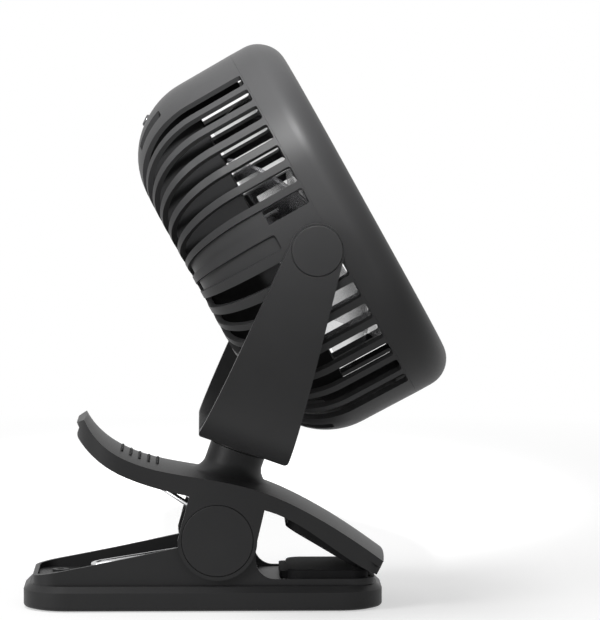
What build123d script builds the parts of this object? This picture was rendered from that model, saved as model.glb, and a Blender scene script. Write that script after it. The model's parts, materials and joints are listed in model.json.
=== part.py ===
from build123d import *
import math
import os

# Clip fan: a weighted base with a spring clamp, a swivelling yoke and a tilting fan head.
# All sizes are in millimetres. +X points to the jaw end, +Y to the far side, +Z up.
# The origin is the centre of the face that the base stands on.

# ---------------------------------------------------------------- clearances
running_gap = 0.05          # radial, between a turning pin and its bore
seat_gap = 0.15             # round a cap or plate that drops into a recess
side_gap = 0.4              # between faces of bodies that move past each other

# ---------------------------------------------------------------- base
base_length = 150.0
base_width = 62.0
base_height = 10.3
base_corner = 19.0
base_top_chamfer = 2.5
base_foot_round = 1.5
base_wall = 2.4
foot_pad_thickness = 1.6
foot_pad_proud = 0.4
ballast_thickness = 3.0
ballast_margin = 2.0
screw_places = [(-60.0, -7.0), (-60.0, 7.0), (13.0, -16.0), (13.0, 16.0)]
base_screw_radius = 1.5
base_screw_head_radius = 2.9
base_screw_head_height = 1.8
base_boss_radius = 3.6
base_boss_height = 1.2

# ---------------------------------------------------------------- lower shell of the clamp
shell_ledge = 4.8           # from the base's long edges to the shell
shell_left = -71.0
shell_right = 71.8
shell_corner = 10.0
shell_wall = 2.0
shell_left_rim = 14.1
shell_mid_rim = 18.8
shell_mid_x = -46.0
shell_jaw_rim = 13.0
shell_ear_radius = 16.0
shell_throat_radius = 8.0
shell_ear_root = 3.0        # where the rim meets the ear, below the hinge

# ---------------------------------------------------------------- clamp hinge
hinge_x = 6.0
hinge_z = 29.3
hinge_pin_radius = 3.5
hinge_cap_radius = 14.9
hinge_cap_thickness = 1.3

# ---------------------------------------------------------------- clamp lever
lever_side_gap = 0.6        # between the shell's sides and the lever's skirts
lever_plate = 3.0
lever_skirt = 2.4
lever_crown = 1.5
lever_ear_radius = 16.6
handle_plan_corner = 18.0
jaw_plan_corner = 7.0
lever_tip_wall = 4.4
handle_end_round = 3.0
handle_tip = (-49.8, 79.0)
jaw_tip = (75.0, 20.6)
lever_top_points = [
    handle_tip, (-40.5, 68.1), (-29.0, 61.8), (-2.7, 55.7),
    (24.2, 49.7), (45.0, 40.2), (60.0, 31.1), jaw_tip,
]
lever_left_edge = [(-5.6, 47.9), (-18.1, 50.9), (-29.0, 54.5), (-40.0, 60.0), (-47.7, 66.3), (-52.8, 72.6)]
lever_right_edge = [(72.2, 15.0), (64.8, 18.9), (39.6, 36.0), (25.6, 42.0)]
skirt_drop = 1.0            # how far the skirts start below the edge of the crowned plate
jaw_rib_thickness = 3.0
jaw_rib_spacing = 24.0
grip_rows = 5
grip_row_pitch = 3.75
grip_row_beads = 9
grip_bead_pitch = 3.2
grip_bead_radius = 0.75
grip_bead_height = 0.6
grip_first_x = -34.4

# ---------------------------------------------------------------- jaw pads
jaw_pad_margin = 2.5        # from the shell's sides to the pads
lower_pad_left = 35.2
lower_pad_right = 68.6
lower_pad_top = 16.4
lower_pad_corner = 6.5
lower_tab_length = 3.0
lower_tab_top = 15.4
lower_tab_width = 36.0
upper_pad_thickness = 3.4
upper_pad_start = (34.5, 34.5)
upper_pad_end = (64.2, 16.9)

# ---------------------------------------------------------------- torsion spring
spring_wire = 2.2
spring_mean_radius = 5.4
spring_turn_gap = 0.55
spring_full_turns = 3
spring_inner_half = 8.0
spring_upper_reach = 39.5
spring_lower_reach = 50.0
spring_upper_angle = 147.1  # degrees, direction of the upper legs in the side view
spring_lower_angle = 188.4

# ---------------------------------------------------------------- swivel neck and yoke
neck_x = 14.9
neck_z = 65.0
yoke_tilt = 19.5
neck_height = 3.0           # from the swivel seam to the yoke's floor
neck_radius = 11.9
neck_gap = 0.3
neck_root_depth = 12.8
neck_fillet = 6.5
stud_radius = 6.0
stud_length = 18.2
swivel_boss_radius = 10.0
swivel_washer_radius = 8.5
swivel_washer_thickness = 1.2
swivel_screw_radius = 1.9
swivel_screw_head_radius = 3.8
swivel_screw_head_height = 2.4
swivel_screw_length = 12.0
yoke_arm_thickness = 5.0
yoke_floor_thickness = 2.6
yoke_floor_gap = 0.45       # between the yoke's floor and the turning head
yoke_corner = 50.0
yoke_arm_radius = 11.0
yoke_half_taper = 5.4       # degrees
yoke_foot_round = 2.5

# ---------------------------------------------------------------- tilt pivot
pivot_screw_radius = 3.0
pivot_screw_head_radius = 5.2
pivot_screw_head_height = 1.5
pivot_screw_length = 14.0
pivot_cap_radius = 10.3
pivot_cap_depth = 2.2
pivot_cap_proud = 0.6
pivot_boss_radius = 8.6
pivot_boss_proud = 2.7      # outside the head's side walls
pivot_boss_inside = 5.0     # inside them
boss_gap = 0.3              # between the head's bosses and the arms
pivot_below_centre = 4.85
head_tilt = 29.0

# ---------------------------------------------------------------- fan head
head_size = 158.8
head_corner = 53.0
head_draft = 1.1            # degrees
head_front = 26.4           # from the pivot axis to the front plane
head_back = 50.0            # from the pivot axis to the rear plane
bezel_depth = 19.0
head_shoulder = 33.0
head_front_round = 12.0
head_wall = 2.4
slot_first = 16.7           # distance of the first slot from mid height, round the side
slot_pitch = 9.9
slot_count = 7
slot_width = 6.9
slot_inner_width = 2.6
slot_rim = 0.6              # wall left between the long slots and the parting plane
slot_end_round = 1.2
slot_hub_radius = 36.0
band_front = -12.0          # front end of the short middle slots, from the pivot axis
blind_slot_depth = 1.7
top_slit_place = 90.0
top_slit_front = -29.0
top_slit_back = -43.0

# ---------------------------------------------------------------- grille
grille_opening = 68.0
grille_rim_width = 3.0
grille_thickness = 3.0
grille_recess = 3.0
grille_spokes = 36
grille_spoke_width = 1.6
grille_swirl = 28.0
grille_hub_radius = 19.0
grille_ring_radii = (34.0, 50.0)
grille_ring_width = 1.6
ledge_thickness = 2.5
tongue_spread = 18.0
tongue_width = 12.0
tongue_thickness = 1.6
tongue_reach = 5.0
tongue_root = 3.0
badge_radius = 16.0
badge_thickness = 1.6

# ---------------------------------------------------------------- impeller and motor
blade_count = 5
blade_tip_radius = 61.0
blade_thickness = 1.5
blade_root_chord = 24.0
blade_tip_chord = 46.0
blade_root_pitch = 50.0
blade_tip_pitch = 24.0
blade_reach = 68.0          # radius of the last section, trimmed back to the tip radius
blade_sweep = 0.22          # radians the tip trails behind the root
blade_camber = 0.07
impeller_hub_round = 1.5
impeller_boss_gap = 0.5
impeller_hub_radius = 19.0
impeller_hub_depth = 22.0
impeller_front = 7.0
impeller_wall = 2.0
impeller_boss_radius = 4.5
shaft_radius = 1.5
shaft_front = 5.5
shaft_back = -41.5
rotor_radius = 11.0
rotor_back = -33.0
rotor_front = -13.0
rotor_slots = 5
rotor_slot_depth = 4.0
rotor_slot_width = 2.4
motor_radius = 14.0
motor_back = -43.0
motor_front = -6.0
can_wall = 1.2
end_bell_depth = 5.0
end_bell_spigot = 2.0
bush_radius = 4.0
bush_length = 3.0
bracket_wall = 2.0
bracket_flange_radius = 21.5
bracket_flange_thickness = 2.4
case_half_width = 35.0
case_low = -60.0            # up and down from the head's middle
case_high = 56.0
case_front = -16.2
case_wall = 2.0
case_corner = 3.0
case_wing_reach = 24.0
case_wing_low = 66.0
case_wing_front = 5.0
cell_radius = 9.2
cell_length = 64.0
motor_screw_ring = 18.7
motor_screw_count = 4
motor_screw_bite = 1.8
small_screw_radius = 1.3
small_screw_head_radius = 2.5
small_screw_head_height = 1.6

# ---------------------------------------------------------------- power button, board and socket
button_angle = 54.4         # degrees up from straight back, on the upper shoulder
button_length = 12.0
button_height = 5.0
button_proud = 0.9
button_travel = 0.8
button_flange = 1.2
button_lip = 1.0
button_gap = 0.3
button_round = 0.8
stem_radius = 1.5
stem_length = 0.4
switch_size = 6.0
switch_body_height = 1.8
board_depth = 7.6
board_thickness = 1.6
board_left = -18.0
board_right = 31.5
board_height = 12.0
post_radius = 2.2
post_places = (-14.0, 14.0)
post_hole_depth = 3.6
socket_place = 26.0
socket_width = 8.0
socket_height = 3.2
socket_wall = 0.4
socket_inset = 0.8
socket_floor = 1.2
socket_tongue_width = 6.0
socket_tongue_thickness = 0.7

# ---------------------------------------------------------------- places worked out from the sizes
shell_width = base_width - 2 * shell_ledge
lever_width = shell_width + 2 * (lever_skirt + lever_side_gap)
jaw_pad_width = shell_width - 2 * jaw_pad_margin
head_half = head_size / 2
parting = head_front - bezel_depth
draft = math.radians(head_draft)
shoulder_front = head_shoulder - head_back
shoulder_up = head_half - (parting - shoulder_front) * math.tan(draft) - head_shoulder / math.cos(draft)
shoulder_reach = math.hypot(shoulder_front, shoulder_up + pivot_below_centre)
button_turn = math.atan2(shoulder_up + pivot_below_centre, -shoulder_front) - math.radians(button_angle)
button_reach = math.hypot(
    shoulder_reach * math.cos(button_turn) + head_shoulder + button_proud,
    shoulder_reach * math.sin(button_turn) + button_height / 2,
)
head_swing = max(shoulder_reach + head_shoulder, button_reach)
yoke_floor_depth = head_swing + yoke_floor_gap + yoke_floor_thickness
yoke_reach = yoke_floor_depth + neck_height
yoke_half_span = head_half + pivot_boss_proud + boss_gap + yoke_arm_thickness

tilt = math.radians(yoke_tilt)
yoke_axis = Vector(math.sin(tilt), 0, math.cos(tilt))
yoke_across = Vector(math.cos(tilt), 0, -math.sin(tilt))
neck_point = Vector(neck_x, 0, neck_z)
pivot = neck_point + yoke_axis * yoke_reach
lean = math.radians(head_tilt)
head_axis = Vector(math.cos(lean), 0, math.sin(lean))
head_up = Vector(-math.sin(lean), 0, math.cos(lean))
head_centre = pivot + head_up * pivot_below_centre

front_plane = Plane(origin=head_centre, x_dir=(0, 1, 0), z_dir=head_axis)
rear_plane = Plane(origin=head_centre, x_dir=(0, 1, 0), z_dir=-head_axis)
yoke_plane = Plane(origin=pivot, x_dir=(0, 1, 0), z_dir=yoke_axis)
strap_plane = Plane(origin=pivot, x_dir=(0, 1, 0), z_dir=yoke_across)
yoke_side_plane = Plane(origin=pivot, x_dir=yoke_across, z_dir=(0, -1, 0))
hinge_plane = Plane(origin=(hinge_x, 0, hinge_z), x_dir=(1, 0, 0), z_dir=(0, -1, 0))

os.makedirs("parts", exist_ok=True)


def save(built, name):
    built.part.label = name
    export_step(built.part, "parts/" + name + ".step")


def side_at(y):
    """The side view's plane at a distance y from the middle; its normal points at the viewer."""
    return Plane(origin=(0, y, 0), x_dir=(1, 0, 0), z_dir=(0, -1, 0))


def side_hole(plane, radius, half_length):
    """A round cutter across the whole width, centred on the plane's origin."""
    with BuildPart(plane) as cutter:
        Cylinder(radius, 2 * half_length)
    return cutter.part


# ================================================================ base plate, pad and ballast
ballast_top = base_height - base_wall
base_screw_bottom = ballast_top - ballast_thickness

with BuildPart() as base_plate:
    with BuildSketch(Plane.XY.offset(foot_pad_proud)):
        RectangleRounded(base_length, base_width, base_corner)
    extrude(amount=base_height - foot_pad_proud)
    chamfer(base_plate.faces().sort_by(Axis.Z)[-1].edges(), base_top_chamfer)
    fillet(base_plate.faces().sort_by(Axis.Z)[0].edges(), base_foot_round)
    with BuildSketch(Plane.XY):
        RectangleRounded(base_length - 2 * base_wall, base_width - 2 * base_wall, base_corner - base_wall)
    extrude(amount=ballast_top, mode=Mode.SUBTRACT)
    with BuildSketch(Plane.XY):
        with Locations(*screw_places):
            Circle(base_screw_radius + running_gap)
    extrude(amount=base_height, mode=Mode.SUBTRACT)
save(base_plate, "base_plate")

with BuildPart() as foot_pad:
    with BuildSketch(Plane.XY):
        pad_margin = base_wall + seat_gap
        RectangleRounded(base_length - 2 * pad_margin, base_width - 2 * pad_margin, base_corner - pad_margin)
    extrude(amount=foot_pad_thickness)
    chamfer(foot_pad.faces().sort_by(Axis.Z)[0].edges(), foot_pad_proud)
save(foot_pad, "foot_pad")

with BuildPart() as ballast_plate:
    with BuildSketch(Plane.XY.offset(base_screw_bottom)):
        inset = base_wall + ballast_margin
        RectangleRounded(base_length - 2 * inset, base_width - 2 * inset, base_corner - inset)
        with Locations(*screw_places):
            Circle(base_screw_radius + running_gap, mode=Mode.SUBTRACT)
    extrude(amount=ballast_thickness)
save(ballast_plate, "ballast_plate")

with BuildPart() as base_screws:
    with BuildSketch(Plane.XY.offset(base_screw_bottom - base_screw_head_height)):
        with Locations(*screw_places):
            Circle(base_screw_head_radius)
    extrude(amount=base_screw_head_height)
    with BuildSketch(Plane.XY.offset(base_screw_bottom)):
        with Locations(*screw_places):
            Circle(base_screw_radius)
    extrude(amount=base_height + shell_wall + base_boss_height - 0.5 - base_screw_bottom)
save(base_screws, "base_screws")

# ================================================================ lower shell: tray with hinge ears
shell_half = shell_width / 2
shell_length = shell_right - shell_left
shell_middle = (shell_right + shell_left) / 2
ear_right = hinge_x + shell_ear_radius
ear_left = hinge_x - shell_ear_radius
throat_end = ear_right + shell_throat_radius
throat_top = shell_jaw_rim + shell_throat_radius

with BuildPart() as lower_shell:
    with BuildSketch(side_at(0)):
        with BuildLine():
            tray_rim = ThreePointArc(
                (shell_left, shell_left_rim),
                (shell_mid_x, shell_mid_rim),
                (ear_left, hinge_z - shell_ear_root),
            )
            ear_side = Line(tray_rim @ 1, (ear_left, hinge_z))
            ear_round = ThreePointArc(
                ear_side @ 1, (hinge_x, hinge_z + shell_ear_radius), (ear_right, hinge_z)
            )
            ear_drop = Line(ear_round @ 1, (ear_right, throat_top))
            throat = RadiusArc(ear_drop @ 1, (throat_end, shell_jaw_rim), -shell_throat_radius)
            jaw_rim = Line(throat @ 1, (shell_right, shell_jaw_rim))
            Polyline(
                jaw_rim @ 1, (shell_right, base_height), (shell_left, base_height), tray_rim @ 0
            )
        make_face()
    extrude(amount=shell_half, both=True)
    with BuildSketch(Plane.XY.offset(base_height)):
        with Locations((shell_middle, 0)):
            RectangleRounded(shell_length, shell_width, shell_corner)
    extrude(amount=hinge_z + shell_ear_radius, mode=Mode.INTERSECT)
    with BuildSketch(Plane.XY.offset(base_height + shell_wall)):
        with Locations((shell_middle, 0)):
            RectangleRounded(
                shell_length - 2 * shell_wall, shell_width - 2 * shell_wall, shell_corner - shell_wall
            )
    extrude(amount=hinge_z + shell_ear_radius, mode=Mode.SUBTRACT)
    with BuildSketch(Plane.XY.offset(base_height)):
        with Locations(*screw_places):
            Circle(base_boss_radius)
    extrude(amount=shell_wall + base_boss_height)
    with BuildSketch(Plane.XY.offset(base_height)):
        with Locations(*screw_places):
            Circle(base_screw_radius + running_gap)
    extrude(amount=shell_wall + base_boss_height, mode=Mode.SUBTRACT)
    add(side_hole(hinge_plane, hinge_pin_radius + running_gap, shell_width), mode=Mode.SUBTRACT)
save(lower_shell, "lower_shell")

# ================================================================ hinge pin and caps
cap_inner = lever_width / 2 - hinge_cap_thickness
with BuildPart(hinge_plane) as hinge_pin:
    Cylinder(hinge_pin_radius, 2 * (cap_inner - 0.1))
save(hinge_pin, "hinge_pin")

with BuildPart() as hinge_caps:
    for side in (-1, 1):
        with BuildSketch(Plane(origin=(hinge_x, side * cap_inner, hinge_z), z_dir=(0, side, 0))):
            Circle(hinge_cap_radius)
        extrude(amount=hinge_cap_thickness)
    outer_rims = hinge_caps.edges().filter_by(GeomType.CIRCLE)
    fillet(outer_rims.group_by(Axis.Y)[0] + outer_rims.group_by(Axis.Y)[-1], 0.4)
save(hinge_caps, "hinge_caps")

# ================================================================ clamp lever
lever_ear_right = hinge_x + lever_ear_radius
lever_ear_left = hinge_x - lever_ear_radius
lever_half = lever_width / 2
lever_left = lever_left_edge[-1][0]
lever_middle = (jaw_tip[0] + lever_left) / 2
lever_length = jaw_tip[0] - lever_left
pad_slope = math.atan2(upper_pad_end[1] - upper_pad_start[1], upper_pad_end[0] - upper_pad_start[0])
pad_lift = Vector(-math.sin(pad_slope), math.cos(pad_slope)) * upper_pad_thickness


def upper_curve(drop):
    return Spline(*[(x, z - drop) for x, z in lever_top_points])


with BuildLine(side_at(0)) as lever_path:
    upper_curve(0)
path_edge = lever_path.edges()[0]

bead_planes = []
for row in range(grip_rows):
    row_x = grip_first_x + row * grip_row_pitch
    along_path = min(
        (step / 800 for step in range(400)), key=lambda share: abs((path_edge @ share).X - row_x)
    )
    path_dir = path_edge % along_path
    path_normal = Vector(-path_dir.Z, 0, path_dir.X)
    for bead in range(grip_row_beads):
        across = (bead - (grip_row_beads - 1) / 2) * grip_bead_pitch
        crown_rise = lever_crown * (1 - (across / lever_half) ** 2) + running_gap
        bead_place = path_edge @ along_path + path_normal * crown_rise + Vector(0, across, 0)
        bead_planes.append(Plane(origin=bead_place, z_dir=path_normal))

with BuildSketch() as lever_outline:
    with BuildLine():
        top_edge = upper_curve(skirt_drop)
        Line(top_edge @ 1, lever_right_edge[0])
        jaw_bottom = Spline(*lever_right_edge)
        ear_front = Line(jaw_bottom @ 1, (lever_ear_right, hinge_z))
        ear_round = ThreePointArc(
            ear_front @ 1, (hinge_x, hinge_z - lever_ear_radius), (lever_ear_left, hinge_z)
        )
        Line(ear_round @ 1, lever_left_edge[0])
        handle_bottom = Spline(*lever_left_edge)
        Line(handle_bottom @ 1, top_edge @ 0)
    make_face()
    fillet(lever_outline.vertices().sort_by(Axis.X)[0], handle_end_round)

with BuildSketch() as jaw_rib_outline:
    with BuildLine():
        rib_top = upper_curve(skirt_drop)
        Polyline(rib_top @ 1, (jaw_tip[0], -base_length), (handle_tip[0], -base_length), rib_top @ 0)
    make_face()
    with BuildLine():
        rib_start = Vector(*upper_pad_start) + pad_lift
        rib_end = Vector(*upper_pad_end) + pad_lift
        Polyline(rib_start, rib_end, (rib_end.X, base_length), (rib_start.X, base_length), rib_start)
    make_face(mode=Mode.INTERSECT)



def lever_plan(skirt, tip_wall):
    """The lever's outline seen from above, drawn in by its side and end walls."""
    with BuildSketch() as plan:
        with Locations((lever_middle, 0)):
            Rectangle(lever_length - 2 * tip_wall, lever_width - 2 * skirt)
        fillet(plan.vertices().group_by(Axis.X)[0], handle_plan_corner - tip_wall)
        fillet(plan.vertices().group_by(Axis.X)[-1], jaw_plan_corner - tip_wall)
    return plan.sketch


with BuildPart() as lever_walls:
    with BuildSketch(side_at(0)):
        add(lever_outline.sketch)
    extrude(amount=lever_half, both=True)
    with BuildSketch(Plane.XY):
        add(lever_plan(0, 0))
        add(lever_plan(lever_skirt, lever_tip_wall), mode=Mode.SUBTRACT)
    extrude(amount=base_length, mode=Mode.INTERSECT)

with BuildPart() as clamp_lever:
    with BuildSketch(Plane(origin=path_edge @ 0, x_dir=(0, 1, 0), z_dir=path_edge % 0)):
        with BuildLine():
            crown = ThreePointArc((-lever_half, 0), (0, lever_crown), (lever_half, 0))
            Polyline(crown @ 1, (lever_half, -lever_plate), (-lever_half, -lever_plate), crown @ 0)
        make_face()
    sweep(path=path_edge)
    with BuildSketch(yoke_plane.offset(-yoke_reach - neck_gap)):
        Circle(neck_radius)
    extrude(amount=-neck_root_depth)
    fillet(
        clamp_lever.edges().filter_by(GeomType.BSPLINE).sort_by_distance(neck_point)[0], neck_fillet
    )
    add(lever_walls.part)
    for place in (-jaw_rib_spacing / 2, jaw_rib_spacing / 2):
        with BuildSketch(side_at(place)):
            add(jaw_rib_outline.sketch)
        extrude(amount=jaw_rib_thickness / 2, both=True)
    with BuildSketch(yoke_plane.offset(-yoke_reach - stud_length)):
        Circle(swivel_boss_radius)
    extrude(amount=stud_length - neck_root_depth / 2)
    with BuildSketch(Plane.XY):
        with Locations((lever_middle, 0)):
            Rectangle(2 * lever_length, 2 * lever_width)
        add(lever_plan(0, 0), mode=Mode.SUBTRACT)
    extrude(amount=base_length, mode=Mode.SUBTRACT)
    with BuildSketch(yoke_plane.offset(-yoke_reach)):
        Circle(stud_radius + running_gap)
    extrude(amount=-stud_length - 1, mode=Mode.SUBTRACT)
    for side in (-1, 1):
        with BuildSketch(side_at(side * cap_inner)):
            with Locations((hinge_x, hinge_z)):
                Circle(hinge_cap_radius + seat_gap)
        extrude(amount=-side * 2 * hinge_cap_thickness, mode=Mode.SUBTRACT)
    add(side_hole(hinge_plane, hinge_pin_radius + running_gap, lever_width), mode=Mode.SUBTRACT)
save(clamp_lever, "clamp_lever")

with BuildPart() as grip_beads:
    with Locations(*bead_planes):
        Cone(
            grip_bead_radius, grip_bead_radius / 2, grip_bead_height,
            align=(Align.CENTER, Align.CENTER, Align.MIN),
        )
save(grip_beads, "grip_beads")

# ================================================================ jaw pads
with BuildPart() as lower_jaw_pad:
    pad_floor = base_height + shell_wall
    pad_length = lower_pad_right - lower_pad_left
    with BuildSketch(Plane.XY.offset(pad_floor)):
        with Locations((lower_pad_left + pad_length / 2, 0)):
            RectangleRounded(pad_length, jaw_pad_width, lower_pad_corner)
    extrude(amount=lower_pad_top - pad_floor)
    fillet(lower_jaw_pad.faces().sort_by(Axis.Z)[-1].edges(), 0.6)
    with BuildSketch(Plane.XY.offset(pad_floor)):
        with Locations((lower_pad_left, 0)):
            RectangleRounded(2 * lower_tab_length, lower_tab_width, lower_tab_length * 0.8)
    extrude(amount=lower_tab_top - pad_floor)
save(lower_jaw_pad, "lower_jaw_pad")

with BuildPart() as upper_jaw_pad:
    pad_run = Vector(*upper_pad_end) - Vector(*upper_pad_start)
    pad_along = Vector(math.cos(pad_slope), 0, math.sin(pad_slope))
    pad_up = Vector(-math.sin(pad_slope), 0, math.cos(pad_slope))
    pad_origin = Vector(upper_pad_start[0], 0, upper_pad_start[1])
    with BuildSketch(Plane(origin=pad_origin, x_dir=pad_along, z_dir=pad_up)):
        with Locations((pad_run.length / 2, 0)):
            RectangleRounded(pad_run.length, jaw_pad_width, lower_pad_corner)
    extrude(amount=upper_pad_thickness)
save(upper_jaw_pad, "upper_jaw_pad")

# ================================================================ yoke, neck stub and stud
inner_span = yoke_half_span - yoke_arm_thickness
inner_depth = yoke_floor_depth - yoke_floor_thickness
inner_corner = yoke_corner - yoke_arm_thickness
taper = math.radians(yoke_half_taper)
shoulder_x = yoke_arm_radius * math.cos(taper)
shoulder_y = yoke_arm_radius * math.sin(taper)
foot_x = shoulder_x + (yoke_floor_depth + shoulder_y) * math.tan(taper)
strap_height = 2 * yoke_floor_depth

with BuildPart() as yoke:
    with BuildSketch(strap_plane):
        with Locations((0, strap_height / 2 - yoke_floor_depth)):
            RectangleRounded(2 * yoke_half_span, strap_height, yoke_corner)
        with Locations((0, strap_height / 2 - inner_depth)):
            RectangleRounded(2 * inner_span, strap_height, inner_corner, mode=Mode.SUBTRACT)
    extrude(amount=foot_x, both=True)
    with BuildSketch(yoke_side_plane) as arm_outline:
        with BuildLine():
            Polyline(
                (-shoulder_x, shoulder_y),
                (-foot_x, -yoke_floor_depth),
                (foot_x, -yoke_floor_depth),
                (shoulder_x, shoulder_y),
                (-shoulder_x, shoulder_y),
            )
        make_face()
        fillet(arm_outline.vertices().group_by(Axis.Y)[0], yoke_foot_round)
        Circle(yoke_arm_radius)
    extrude(amount=yoke_half_span, both=True, mode=Mode.INTERSECT)
    with BuildSketch(yoke_plane.offset(-yoke_reach)):
        Circle(neck_radius)
    extrude(amount=yoke_reach - yoke_floor_depth + yoke_floor_thickness / 2)
    fillet(
        yoke.edges().filter_by(GeomType.CIRCLE).sort_by_distance(pivot - yoke_axis * yoke_floor_depth)[0],
        (yoke_reach - yoke_floor_depth) * 0.8,
    )
    with BuildSketch(yoke_plane.offset(-yoke_reach)):
        Circle(stud_radius)
    extrude(amount=-stud_length)
    with BuildSketch(yoke_plane.offset(-yoke_reach - stud_length)):
        Circle(swivel_screw_radius + running_gap)
    extrude(amount=swivel_screw_length, mode=Mode.SUBTRACT)
    for side in (-1, 1):
        with BuildSketch(Plane(origin=pivot + Vector(0, side * yoke_half_span, 0), z_dir=(0, side, 0))):
            Circle(pivot_cap_radius + seat_gap)
        extrude(amount=-pivot_cap_depth, mode=Mode.SUBTRACT)
    pivot_plane = Plane(origin=pivot, z_dir=(0, 1, 0))
    add(side_hole(pivot_plane, pivot_screw_radius + running_gap, yoke_half_span), mode=Mode.SUBTRACT)
save(yoke, "yoke")

washer_plane = yoke_plane.offset(-yoke_reach - stud_length)
with BuildPart() as swivel_washer:
    with BuildSketch(washer_plane):
        Circle(swivel_washer_radius)
        Circle(swivel_screw_radius + running_gap, mode=Mode.SUBTRACT)
    extrude(amount=-swivel_washer_thickness)
save(swivel_washer, "swivel_washer")

with BuildPart() as swivel_screw:
    with BuildSketch(washer_plane.offset(-swivel_washer_thickness - swivel_screw_head_height)):
        Circle(swivel_screw_head_radius)
    extrude(amount=swivel_screw_head_height)
    with BuildSketch(washer_plane.offset(-swivel_washer_thickness)):
        Circle(swivel_screw_radius)
    extrude(amount=swivel_screw_length + swivel_washer_thickness - 1)
save(swivel_screw, "swivel_screw")

# ================================================================ tilt pivot: screws and caps
arm_floor = yoke_half_span - pivot_cap_depth
with BuildPart() as pivot_caps:
    for side in (-1, 1):
        with BuildSketch(Plane(origin=pivot + Vector(0, side * arm_floor, 0), z_dir=(0, side, 0))):
            Circle(pivot_cap_radius)
        extrude(amount=pivot_cap_depth + pivot_cap_proud)
    cap_rims = pivot_caps.edges().filter_by(GeomType.CIRCLE)
    fillet(cap_rims.group_by(Axis.Y)[0] + cap_rims.group_by(Axis.Y)[-1], pivot_cap_proud * 0.9)
    for side in (-1, 1):
        with BuildSketch(Plane(origin=pivot + Vector(0, side * arm_floor, 0), z_dir=(0, side, 0))):
            Circle(pivot_screw_head_radius + side_gap)
        extrude(amount=pivot_screw_head_height + side_gap, mode=Mode.SUBTRACT)
save(pivot_caps, "pivot_caps")

with BuildPart() as pivot_screws:
    for side in (-1, 1):
        outward = Vector(0, side, 0)
        with BuildSketch(Plane(origin=pivot + outward * (arm_floor + running_gap), z_dir=outward)):
            Circle(pivot_screw_head_radius)
        extrude(amount=pivot_screw_head_height)
        with BuildSketch(Plane(origin=pivot + outward * (arm_floor + running_gap), z_dir=outward)):
            Circle(pivot_screw_radius)
        extrude(amount=-pivot_screw_length)
save(pivot_screws, "pivot_screws")

# ================================================================ torsion spring
def biarc(start, start_dir, end, end_dir):
    """Two tangent arcs that join two points with given directions."""
    span = end - start
    total = start_dir + end_dir
    turn = 2 * (1 - start_dir.dot(end_dir))
    along = span.dot(total)
    reach = (math.sqrt(along ** 2 + turn * span.dot(span)) - along) / turn
    joint = (start + end + (start_dir - end_dir) * reach) * 0.5
    first = TangentArc(start, joint, tangent=start_dir)
    return [first, TangentArc(joint, end, tangent=first % 1)]


def side_dir(angle):
    return Vector(math.cos(angle), 0, math.sin(angle))


spring_pitch = spring_wire + spring_turn_gap
coil_start = math.radians(spring_upper_angle - 90)
coil_end = math.radians(spring_lower_angle - 270) - 2 * math.pi * spring_full_turns
coil_width = spring_pitch * (coil_start - coil_end) / (2 * math.pi)
coil_steps = round((coil_start - coil_end) / (math.pi / 2))
coil_angles = [
    coil_start + (coil_end - coil_start) * step / coil_steps for step in range(coil_steps + 1)
]


def coil_point(angle, side):
    wound = (coil_start - angle) / (coil_start - coil_end)
    offset = Vector(hinge_x, side * (spring_inner_half + coil_width * (1 - wound)), hinge_z)
    return offset + side_dir(angle) * spring_mean_radius


def coil_heading(angle, side):
    drift = Vector(0, -side * spring_pitch / (2 * math.pi), 0)
    return (side_dir(angle - math.pi / 2) * spring_mean_radius + drift).normalized()


def leg_end(angle, side, reach):
    return coil_point(angle, side) + coil_heading(angle, side) * reach


with BuildLine(mode=Mode.PRIVATE) as spring_path:
    Line(leg_end(coil_start, -1, -spring_upper_reach), coil_point(coil_start, -1))
    for first, second in zip(coil_angles, coil_angles[1:]):
        biarc(
            coil_point(first, -1), coil_heading(first, -1),
            coil_point(second, -1), coil_heading(second, -1),
        )
    near_tip = leg_end(coil_end, -1, spring_lower_reach)
    far_tip = leg_end(coil_end, 1, spring_lower_reach)
    Line(coil_point(coil_end, -1), near_tip)
    biarc(near_tip, coil_heading(coil_end, -1), far_tip, coil_heading(coil_end, 1) * -1)
    Line(far_tip, coil_point(coil_end, 1))
    returning = list(reversed(coil_angles))
    for first, second in zip(returning, returning[1:]):
        biarc(
            coil_point(first, 1), coil_heading(first, 1) * -1,
            coil_point(second, 1), coil_heading(second, 1) * -1,
        )
    Line(coil_point(coil_start, 1), leg_end(coil_start, 1, -spring_upper_reach))
spring_line = spring_path.wires()[0]

with BuildPart() as torsion_spring:
    with BuildSketch(Plane(origin=spring_line @ 0, z_dir=spring_line % 0)):
        Circle(spring_wire / 2)
    sweep(path=spring_line)
save(torsion_spring, "torsion_spring")

# the least gap between stretches of wire that lie more than half a turn apart
sample_step = 0.8
sample_count = int(spring_line.length / sample_step)
wire_points = [spring_line @ (index / sample_count) for index in range(sample_count + 1)]
half_turn = int(math.pi * spring_mean_radius / sample_step)
least_gap = min(
    (wire_points[i] - wire_points[j]).length
    for i in range(len(wire_points))
    for j in range(i + half_turn, len(wire_points))
)
print("torsion spring least gap to itself", round(least_gap - spring_wire, 2))
wire_section = math.pi * (spring_wire / 2) ** 2
swept_volume = wire_section * spring_line.length
print("torsion spring volume", round(torsion_spring.part.volume, 1), round(swept_volume, 1))

# ================================================================ head: rounded blocks and slot bands
def head_block(inset):
    """The head's rear form, shrunk all round by an inset and open at the parting plane."""
    with BuildPart() as block:
        with BuildSketch(rear_plane.offset(-parting)):
            RectangleRounded(head_size - 2 * inset, head_size - 2 * inset, head_corner - inset)
        extrude(amount=parting + head_back - inset, taper=head_draft)
        rear_face = block.faces().sort_by(Axis(head_centre, -head_axis))[-1]
        fillet(rear_face.edges(), head_shoulder - inset)
    return block.part


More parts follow.
